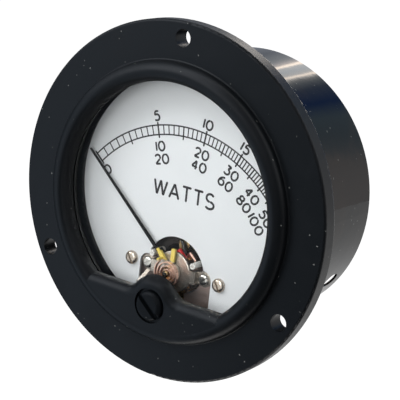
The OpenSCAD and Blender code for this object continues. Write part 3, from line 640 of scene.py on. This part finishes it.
def inked(path, width, thick):
    """One printed stroke on the dial: a flat strip along a path, as wide as the pen, with round ends.

    Half the width at a distance d from an end is half * sqrt(1 - (1 - d / half)^2), up to half.
    Each station has four corners: back left, front left, front right and back right.
    """
    half = width / 2
    steps = np.linalg.norm(np.diff(path, axis=0), axis=1)
    run = np.concatenate([[0], np.cumsum(steps)])
    total = run[-1]
    end = half * (1 - np.cos(np.linspace(0, math.pi / 2, END_STATIONS)))
    middle = run[(run > half) & (run < total - half)]
    along = np.concatenate([end, middle, (total - end)[::-1]])
    centre = np.stack([np.interp(along, run, path[:, k]) for k in (0, 1)], 1)
    slope = np.gradient(path, run, axis=0)
    slope = np.stack([np.interp(along, run, slope[:, k]) for k in (0, 1)], 1)
    slope /= np.linalg.norm(slope, axis=1)[:, None]
    left = np.stack([-slope[:, 1], slope[:, 0]], 1)
    nearest = np.minimum(along, total - along)
    reach = half * np.sqrt(1 - (1 - np.clip(nearest / half, END_LEAST, 1)) ** 2)
    left = left * reach[:, None]
    flat = np.stack([centre + left, centre + left, centre - left, centre - left], 1)
    depth = np.broadcast_to(DIAL_FACE - thick * np.array([0, 1, 1, 0]), flat.shape[:2])
    return np.stack([PIVOT.x + flat[..., 0], depth, PIVOT.z + flat[..., 1]], -1)


def sign_strokes(text, height, gap, wide=1.0):
    """The strokes of a row of signs, centred on the origin, of that height, gap and share of width."""
    strokes, x = [], 0.0
    for sign in text:
        width, shapes = SIGNS[sign]
        strokes += [shape * (height * wide, height) + (x, -height / 2) for shape in shapes]
        x += width * height * wide + gap
    return [stroke - ((x - gap) / 2, 0) for stroke in strokes]


def turned_out(stroke, r, turn):
    """A stroke moved out along a ray of the dial and turned with it, clockwise from upright."""
    c, s = math.cos(turn), math.sin(turn)
    x, z = stroke[:, 0], stroke[:, 1] + r
    return np.stack([c * x + s * z, c * z - s * x], 1)


def scale_angle(settings, share):
    """Angle of a mark: zero + sweep * ln(1 + crowding * share) / ln(1 + crowding)."""
    crowding = settings.crowding
    return settings.zero_at + settings.sweep * math.log1p(crowding * share) / math.log1p(crowding)


FULL_SCALE = 25
MARK_STEP = 0.5
NUMBER_STEP = 5
# Width of each kind of line, and how far each kind of mark runs past the inner and the outer arc
LINES = {"long": 0.46 * MM, "middle": 0.38 * MM, "short": 0.32 * MM, "arc": 0.36 * MM}
PAST_ARCS = {"long": (0.85 * MM, 0.8 * MM), "middle": (0.95 * MM, 0.0), "short": (0.0, 0.0)}
# Radius of each row of numbers, by how many times the scale it counts, and of the zero they share
NUMBER_ROWS = {1: 38.7 * MM, 2: 31.2 * MM, 4: 28.0 * MM}
ZERO_R = 31.4 * MM
# Radius, turn and share of the full size of the first row's last number, which clears the bezel
LAST_NUMBER = (37.65 * MM, math.radians(46.3), 0.56)
DIGIT_GAP = 0.72 * MM
UNIT = "WATTS"
WORD_GAP = 0.9 * MM
WORD_PLACE = (0.25 * MM, 19.9 * MM)


def mark_kind(index):
    """Every tenth mark is long and every fifth between them is middling."""
    if index % 10 == 0:
        return "long"
    return "middle" if index % 5 == 0 else "short"


def scale_strokes(settings):
    """The scale's two arcs, and the marks from one to the other or past them."""
    turns = np.linspace(settings.zero_at, settings.zero_at + settings.sweep, SCALE_STATIONS)
    rays = np.stack([np.sin(turns), np.cos(turns)], 1)
    out = [(r * rays, LINES["arc"]) for r in (settings.outer_r, settings.inner_r)]
    for index in range(int(FULL_SCALE / MARK_STEP) + 1):
        kind = mark_kind(index)
        within, beyond = PAST_ARCS[kind]
        mark = line(0, settings.inner_r - within, 0, settings.outer_r + beyond)
        turn = scale_angle(settings, index * MARK_STEP / FULL_SCALE)
        out.append((turned_out(mark, 0, turn), LINES[kind]))
    return out


def number_strokes(settings):
    """The rows of numbers round the scale, and the zero that they share."""
    numbers = []
    for times, radius in NUMBER_ROWS.items():
        for value in range(NUMBER_STEP, FULL_SCALE + 1, NUMBER_STEP):
            place = (radius, scale_angle(settings, value / FULL_SCALE), 1.0)
            if times == 1 and value == FULL_SCALE:
                place = LAST_NUMBER
            numbers.append((str(value * times), *place))
    numbers.append(("0", ZERO_R, settings.zero_at, 1.0))
    height = settings.digit_h - settings.digit_line
    out = []
    for text, radius, turn, share in numbers:
        for stroke in sign_strokes(text, height, DIGIT_GAP, settings.digit_wide):
            out.append((turned_out(stroke * share, radius, turn), settings.digit_line * share))
    return out


def word_strokes(settings):
    """The unit's name."""
    strokes = sign_strokes(UNIT, settings.word_h - settings.word_line, WORD_GAP)
    return [(stroke + WORD_PLACE, settings.word_line) for stroke in strokes]


# Terminals

# Sides of the thread, its stations to a turn, and how far the rods reach into their heads
THREAD_SIDES = 32
TURN_STATIONS = 8
ROD_SINK = 0.2 * MM


def threaded_rod(x, front, back, settings):
    """A rod along Y with a single thread.

    The radius falls from the crest by the thread's depth times a triangle wave of y / pitch less the
    angle's share of a turn, and tapers in at both ends.
    """
    stations = int((back - front) / settings.thread_pitch * TURN_STATIONS) + 1
    y = np.linspace(front, back, stations)[:, None]
    t = np.linspace(0, 2 * math.pi, THREAD_SIDES, endpoint=False)[None, :]
    phase = (y / settings.thread_pitch - t / (2 * math.pi)) % 1
    groove = 1 - np.abs(2 * phase - 1)
    taper = np.clip((np.minimum(y - front, back - y)) / settings.thread_pitch, 0, 1)
    r = settings.stud_d / 2 - settings.thread_depth * np.maximum(groove, 1 - taper)
    return np.stack([x + r * np.sin(t), y + 0 * t, r * np.cos(t)], -1)


def hexagon(x, front, back, corner_r):
    """A six-sided head along Y with a corner to each side: corner_r * (cos t, -sin t), t by 60 degrees."""
    t = np.radians(np.arange(0, 360, 60))[None, :]
    y = np.array([front, back])[:, None]
    return np.stack([x + corner_r * np.cos(t) + 0 * y, y + 0 * t, -corner_r * np.sin(t) + 0 * y], -1)


# Stage

SENSOR_WIDTH = 36
CLIP = (0.01, 50)
# Each lamp's place, its width and height, and whether reflections show it
LAMPS = {
    "key": ((-0.45, -0.45, 0.30), (0.36, 0.36), False),
    "top": ((0.06, -0.50, 0.58), (0.50, 0.30), True),
    "fill": ((0.0, -0.75, 0.15), (0.40, 0.40), False),
    "back": ((0.30, 0.62, 0.42), (0.40, 0.40), False),
}
FLOOR_R = 6
FLOOR_SIDES = 64
FLOOR_GREYS = ((0.85, 0.85, 0.85), (0.83, 0.83, 0.83))
# The floor's own light, where it is seen and where it is mirrored
FLOOR_LEVELS = (0.75, 0.38)
# Points along a card's turns and rises
CARD_TURNS = 49
CARD_RISES = 13
# A card's colour by turn in degrees, from straight behind towards the right
FRONT_SHADES = {
    300: (0.03, 0.04, 0.05),
    262: (0.08, 0.10, 0.12),
    245: (0.24, 0.28, 0.34),
    228: (0.36, 0.42, 0.50),
    214: (0.31, 0.36, 0.43),
    208: (0.17, 0.20, 0.24),
    203: (0.12, 0.14, 0.16),
    198: (0.01, 0.01, 0.01),
    112: (0.01, 0.01, 0.01),
    92: (0.18, 0.18, 0.19),
    72: (0.50, 0.50, 0.51),
}
HIGH_SHADES = {
    300: (0.16, 0.17, 0.20),
    250: (0.40, 0.44, 0.50),
    225: (1.35, 1.44, 1.58),
    205: (0.90, 0.96, 1.05),
    190: (0.26, 0.28, 0.32),
    150: (0.05, 0.05, 0.06),
    120: (0.05, 0.05, 0.06),
    95: (0.60, 0.62, 0.65),
    60: (0.70, 0.72, 0.75),
}
BACK_SHADES = {
    60: (0.66, 0.65, 0.64),
    34: (0.60, 0.57, 0.56),
    31: (0.54, 0.51, 0.50),
    29: (0.32, 0.37, 0.41),
    25: (0.24, 0.31, 0.36),
    18: (0.22, 0.31, 0.38),
    10: (0.03, 0.09, 0.30),
    0: (0.16, 0.21, 0.32),
    -5: (0.50, 0.55, 0.60),
    -7: (1.0, 1.0, 1.0),
    -8.5: (2.4, 2.3, 2.2),
    -9.5: (7.8, 6.6, 5.5),
    -10.5: (2.8, 2.7, 2.6),
    -14: (2.2, 2.3, 2.4),
    -17.5: (2.4, 2.4, 2.4),
    -18.5: (7.0, 5.9, 4.9),
    -19.8: (1.8, 1.7, 1.7),
    -23: (0.8, 0.85, 0.9),
    -28: (0.35, 0.38, 0.44),
    -60: (0.15, 0.15, 0.16),
}
# Each card's radius, first and last turn, lowest and highest rise, soft upper edge, and shades
CARDS = {
    "front_card": (0.24, (60, 300), (-70, 20), 13, FRONT_SHADES),
    "high_card": (0.6, (60, 300), (-6, 89), 0, HIGH_SHADES),
    "back_card": (0.6, (-60, 60), (-9, 60), 0, BACK_SHADES),
}


def shade_ramp(tree, turned, shades):
    """Shades set along a radial gradient, whose value at a turn is 0.75 - turn / 360, and their peak."""
    grade = put(tree, "ShaderNodeValToRGB", {"Fac": turned})
    peak = max(max(rgb) for rgb in shades.values())
    stops = grade.color_ramp.elements
    while len(stops) < len(shades):
        stops.new(1.0)
    places = sorted(((0.75 - degrees / 360) % 1, rgb) for degrees, rgb in shades.items())
    for stop, (place, rgb) in zip(stops, places):
        stop.position = place
        stop.color = (*(channel / peak for channel in rgb), 1)
    return grade.outputs["Color"], peak


def shown(tree, seen, mirrored):
    """One level for the camera and for what is seen through glass, another for reflections."""
    path = put(tree, "ShaderNodeLightPath").outputs
    straight = math_node(tree, "MAXIMUM", path["Is Camera Ray"], path["Is Transmission Ray"])
    straight = math_node(tree, "MULTIPLY", straight, seen)
    reflected = math_node(tree, "MULTIPLY", path["Is Glossy Ray"], mirrored)
    return math_node(tree, "MAXIMUM", straight, reflected)


# Operators


class MeterOperator:
    """What the operators share."""

    bl_options = {"REGISTER", "UNDO"}


class METER_OT_stage(MeterOperator, bpy.types.Operator):
    """Sets up the camera, the lamps, the floor, the sky and the cards that reflections show"""

    bl_idname = "meter.stage"
    bl_label = "Stage"

    def execute(self, context):
        settings = context.scene.meter_stage
        context.scene.view_settings.view_transform = "Standard"
        self.camera(context.scene, settings)
        for name, (place, size, mirrored) in LAMPS.items():
            self.lamp(context.scene, name, place, size, getattr(settings, f"{name}_power"), mirrored)
        self.floor(context.scene, settings)
        self.sky(context.scene, settings)
        for name, form in CARDS.items():
            self.card(context.scene, name, *form)
        return {"FINISHED"}

    def camera(self, scene, settings):
        """A camera turned by azimuth, elevation and roll about its target."""
        az, el, roll = settings.azimuth, settings.elevation, settings.roll
        back = Vector((math.sin(az) * math.cos(el), -math.cos(az) * math.cos(el), math.sin(el)))
        level = Vector((math.cos(az), math.sin(az), 0))
        upright = back.cross(level)
        right = math.cos(roll) * level + math.sin(roll) * upright
        up = back.cross(right)
        data = bpy.data.cameras.new("view")
        data.lens = settings.lens
        data.sensor_width = SENSOR_WIDTH
        data.clip_start, data.clip_end = CLIP
        camera = bpy.data.objects.new("view", data)
        place = Matrix((right, up, back)).transposed().to_4x4()
        place.translation = Vector(settings.target) + settings.distance * back
        camera.matrix_world = place
        scene.collection.objects.link(camera)
        scene.camera = camera

    def lamp(self, scene, name, place, size, watts, mirrored):
        """A soft rectangular lamp that faces the meter, with or without its own reflection."""
        data = bpy.data.lights.new(name, "AREA")
        data.shape = "RECTANGLE"
        data.size, data.size_y = size
        data.energy = watts
        lamp = bpy.data.objects.new(name, data)
        lamp.location = place
        lamp.rotation_euler = (-Vector(place)).to_track_quat("-Z", "Y").to_euler()
        lamp.visible_glossy = mirrored
        scene.collection.objects.link(lamp)

    def floor(self, scene, settings):
        """A pale round floor: one face within a ring of points, shown white but for shadows."""
        t = np.linspace(0, 2 * math.pi, FLOOR_SIDES, endpoint=False)
        drop = np.full(FLOOR_SIDES, -settings.floor_drop)
        ring = np.stack([FLOOR_R * np.cos(t), FLOOR_R * np.sin(t), drop], 1)
        mesh = bpy.data.meshes.new("floor")
        mesh.from_pydata(ring.tolist(), [], [list(range(FLOOR_SIDES))])
        made = bpy.data.objects.new("floor", mesh)
        scene.collection.objects.link(made)
        material, tree, shader, where = blank(
            "floor_white", Roughness=0.9, Specular_IOR_Level=0.0, Emission_Color=(1, 1, 1, 1)
        )
        grain = use(tree, "Grain", where, Size=0.02, Detail=3.0)
        feed(tree, shader, Base_Color=mix_colour(tree, grain, *FLOOR_GREYS))
        feed(tree, shader, Emission_Strength=shown(tree, *FLOOR_LEVELS))
        mesh.materials.append(material)

    def card(self, scene, name, radius, turns, rises, soft, shades):
        """A graded card on a sphere about the meter, shown by reflections alone, soft at its upper edge.

        A point is radius * (sin turn * cos rise, cos turn * cos rise, sin rise), on a grid of turns by
        rises, and each shade holds at one turn, in degrees from straight behind towards the right.
        """
        turn = np.radians(np.linspace(*turns, CARD_TURNS))[:, None]
        rise = np.radians(np.linspace(*rises, CARD_RISES))[None, :]
        out = np.cos(rise)
        points = radius * np.stack([np.sin(turn) * out, np.cos(turn) * out, np.sin(rise) + 0 * turn], -1)
        at = np.arange(CARD_TURNS - 1)[:, None] * CARD_RISES + np.arange(CARD_RISES - 1)[None, :]
        faces = np.stack([at, at + 1, at + CARD_RISES + 1, at + CARD_RISES], -1).reshape(-1, 4)
        mesh = bpy.data.meshes.new(name)
        mesh.from_pydata(points.reshape(-1, 3).tolist(), [], faces.tolist())
        made = bpy.data.objects.new(name, mesh)
        scene.collection.objects.link(made)
        made.visible_camera = made.visible_diffuse = False
        made.visible_transmission = made.visible_shadow = False
        material, tree, shader, where = blank(
            name, Roughness=1.0, Base_Color=(0, 0, 0, 1), Specular_IOR_Level=0.0
        )
        radial = put(tree, "ShaderNodeTexGradient", {"Vector": where}, gradient_type="RADIAL")
        shade, peak = shade_ramp(tree, radial.outputs["Fac"], shades)
        feed(tree, shader, Emission_Color=shade)
        shader.inputs["Emission Strength"].default_value = peak
        if soft:
            top, start = (radius * math.sin(math.radians(rises[1] - less)) for less in (0, soft))
            fade = ramp(tree, height_of(tree, where), start, top, 1.0, 0.0)
            feed(tree, shader, Alpha=fade)
        mesh.materials.append(material)

    def sky(self, scene, settings):
        """An even sky: white where it shows, softer as light."""
        world = bpy.data.worlds.new("sky")
        world.use_nodes = True
        tree = world.node_tree
        strength = ramp(tree, shown(tree, 1.0, 1.0), 0.0, 1.0, settings.sky, 1.0)
        tree.links.new(strength, tree.nodes["Background"].inputs["Strength"])
        tree.nodes["Background"].inputs["Color"].default_value = (1, 1, 1, 1)
        scene.world = world


class METER_OT_case(MeterOperator, bpy.types.Operator):
    """Finishes the moulded front, the zero adjuster, the can, the glass ring and the case screws"""

    bl_idname = "meter.case"
    bl_label = "Case"

    def execute(self, context):
        settings = context.scene.meter_case
        dress(moulding_material(settings, "front_moulding", rough=0.37, share=0.5), "front_case")
        adjuster = moulding_material(settings, "adjuster_moulding", rough=0.42, share=0.1, shine=0.25)
        dress(adjuster, "zero_adjuster")
        dress(enamel_material(settings), "barrel_can")
        dress(plain_material("ring_blacking", settings.ring, rough=0.85), "glass_ring")
        dress(plain_material("screw_blacking", settings.screw, rough=0.35), "case_screws")
        return {"FINISHED"}


class METER_OT_window(MeterOperator, bpy.types.Operator):
    """Glazes the window"""

    bl_idname = "meter.window"
    bl_label = "Window"

    def execute(self, context):
        dress(glass_material(), "window_glass")
        return {"FINISHED"}


class METER_OT_dial(MeterOperator, bpy.types.Operator):
    """Paints the dial and the pointer and prints the scale, its numbers and the unit's name"""

    bl_idname = "meter.dial"
    bl_label = "Dial"

    def execute(self, context):
        settings = context.scene.meter_dial
        dress(paint_material(settings), "dial_plate")
        dress(plain_material("pointer_black", settings.pointer, rough=0.7, shine=0.15), "pointer")
        strokes = scale_strokes(settings) + number_strokes(settings) + word_strokes(settings)
        grids = [inked(path, width, settings.ink_t) for path, width in strokes]
        ink = plain_material("dial_ink", settings.ink, rough=0.45, grain=0.0002, depth=1e-6)
        piece("dial_printing", grids, ink, "case")
        return {"FINISHED"}


class METER_OT_movement(MeterOperator, bpy.types.Operator):
    """Finishes the metals, jewels, winding and leads of the movement"""

    bl_idname = "meter.movement"
    bl_label = "Movement"

    def execute(self, context):
        settings = context.scene.meter_movement
        nickel = metal_material(
            settings,
            "bridge_nickel",
            settings.nickel,
            rough=0.26,
            tarnish=0.3,
            stretch=EVEN,
            grain=0.00012,
            depth=3e-7,
            patch=0.006,
            bare=0.8,
        )
        dress(nickel, "front_bridge", "rear_bridge")
        steel = metal_material(settings, "turned_steel", settings.steel, rough=0.2, tarnish=0.3)
        dress(steel, "bridge_screws", "bridge_pillars", "dial_posts", "stop_posts", "core_screws")
        dress(steel, "rear_bridge_screws", "movement_pillars", "front_staff", "rear_staff")
        dress(steel, "adjuster_clip")
        dress(pole_material(settings), "left_pole", "right_pole", "iron_core")
        brass = metal_material(settings, "turned_brass", settings.brass, rough=0.26, tarnish=0.4)
        dress(brass, "front_bush", "core_spacers", "balance_weights")
        screw = metal_material(settings, "screw_nickel", settings.screw, rough=0.22, tarnish=0.3)
        dress(screw, "dial_screws")
        collet = metal_material(settings, "collet_brass", settings.brass, rough=0.2, tarnish=0.3)
        dress(collet, "front_collet", "rear_collet")
        dress(lever_material(settings), "zero_lever")
        spring = metal_material(
            settings, "spring_copper", settings.copper, rough=0.3, tarnish=0.15, bare=0.8
        )
        dress(spring, "front_spring", "rear_spring")
        dress(winding_material(settings), "moving_coil")
        foil = metal_material(
            settings, "former_foil", settings.foil, rough=0.35, tarnish=0.4, stretch=EVEN
        )
        dress(foil, "coil_former")
        casting = plain_material("magnet_casting", settings.magnet, rough=0.6, grain=0.0008, depth=2e-5)
        dress(casting, "magnet")
        dress(jewel_material(settings), "front_jewel", "rear_jewel")
        dress(plain_material("stop_sleeve", settings.sleeve, rough=0.45), "stop_sleeves")
        dress(plain_material("red_insulation", settings.red, rough=0.35), "red_lead", "coil_sleeve")
        arm = metal_material(settings, "arm_copper", settings.arm, rough=0.28, tarnish=0.1)
        dress(arm, "balance_cross")
        dress(plain_material("black_insulation", settings.black, rough=0.4), "black_lead")
        return {"FINISHED"}


class METER_OT_back(MeterOperator, bpy.types.Operator):
    """Finishes the back plate and its screws and cuts the terminals' threads"""

    bl_idname = "meter.back"
    bl_label = "Back"

    def execute(self, context):
        settings = context.scene.meter_back
        metals = context.scene.meter_movement
        dress(board_material(settings), "rear_base")
        steel = metal_material(metals, "plated_steel", metals.steel, rough=0.3, tarnish=0.3)
        dress(steel, "movement_screws", "terminal_washers")
        brass = metal_material(metals, "terminal_brass", metals.brass, rough=0.27, tarnish=0.35)
        dress(brass, "terminal_nuts", "terminal_studs")
        low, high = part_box("terminal_studs")
        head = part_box("rear_base")[0].y
        corner_r = (high.z - low.z) / math.sqrt(3)
        places = (low.x + corner_r, high.x - corner_r)
        grids = [threaded_rod(x, head - ROD_SINK, high.y, settings) for x in places]
        grids += [hexagon(x, low.y, head, corner_r) for x in places]
        studs = piece("terminal_threads", grids, brass, "case", smooth=True)
        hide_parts("terminal_studs")
        return {"FINISHED"}


class METER_PT_panel(bpy.types.Panel):
    """Lists the steps of dressing the meter"""

    bl_label = "Panel Meter"
    bl_idname = "METER_PT_panel"
    bl_space_type = "VIEW_3D"
    bl_region_type = "UI"
    bl_category = "Meter"

    def draw(self, context):
        for step in STEPS:
            self.layout.operator(step.bl_idname)


STEPS = (METER_OT_stage, METER_OT_case, METER_OT_window, METER_OT_dial, METER_OT_movement, METER_OT_back)
GROUPS = {
    "meter_stage": StageSettings,
    "meter_case": CaseSettings,
    "meter_dial": DialSettings,
    "meter_movement": MovementSettings,
    "meter_back": BackSettings,
}


def register():
    """Registers the settings, the operators and the panel."""
    for name, group in GROUPS.items():
        bpy.utils.register_class(group)
        setattr(bpy.types.Scene, name, PointerProperty(type=group))
    for step in (*STEPS, METER_PT_panel):
        bpy.utils.register_class(step)


def unregister():
    """Takes them away again."""
    for step in (METER_PT_panel, *reversed(STEPS)):
        bpy.utils.unregister_class(step)
    for name, group in reversed(GROUPS.items()):
        delattr(bpy.types.Scene, name)
        bpy.utils.unregister_class(group)


def main():
    """Dresses the meter step by step."""
    register()
    bpy.ops.meter.stage()
    bpy.ops.meter.case()
    bpy.ops.meter.window()
    bpy.ops.meter.dial()
    bpy.ops.meter.movement()
    bpy.ops.meter.back()


if __name__ == "__main__":
    main()
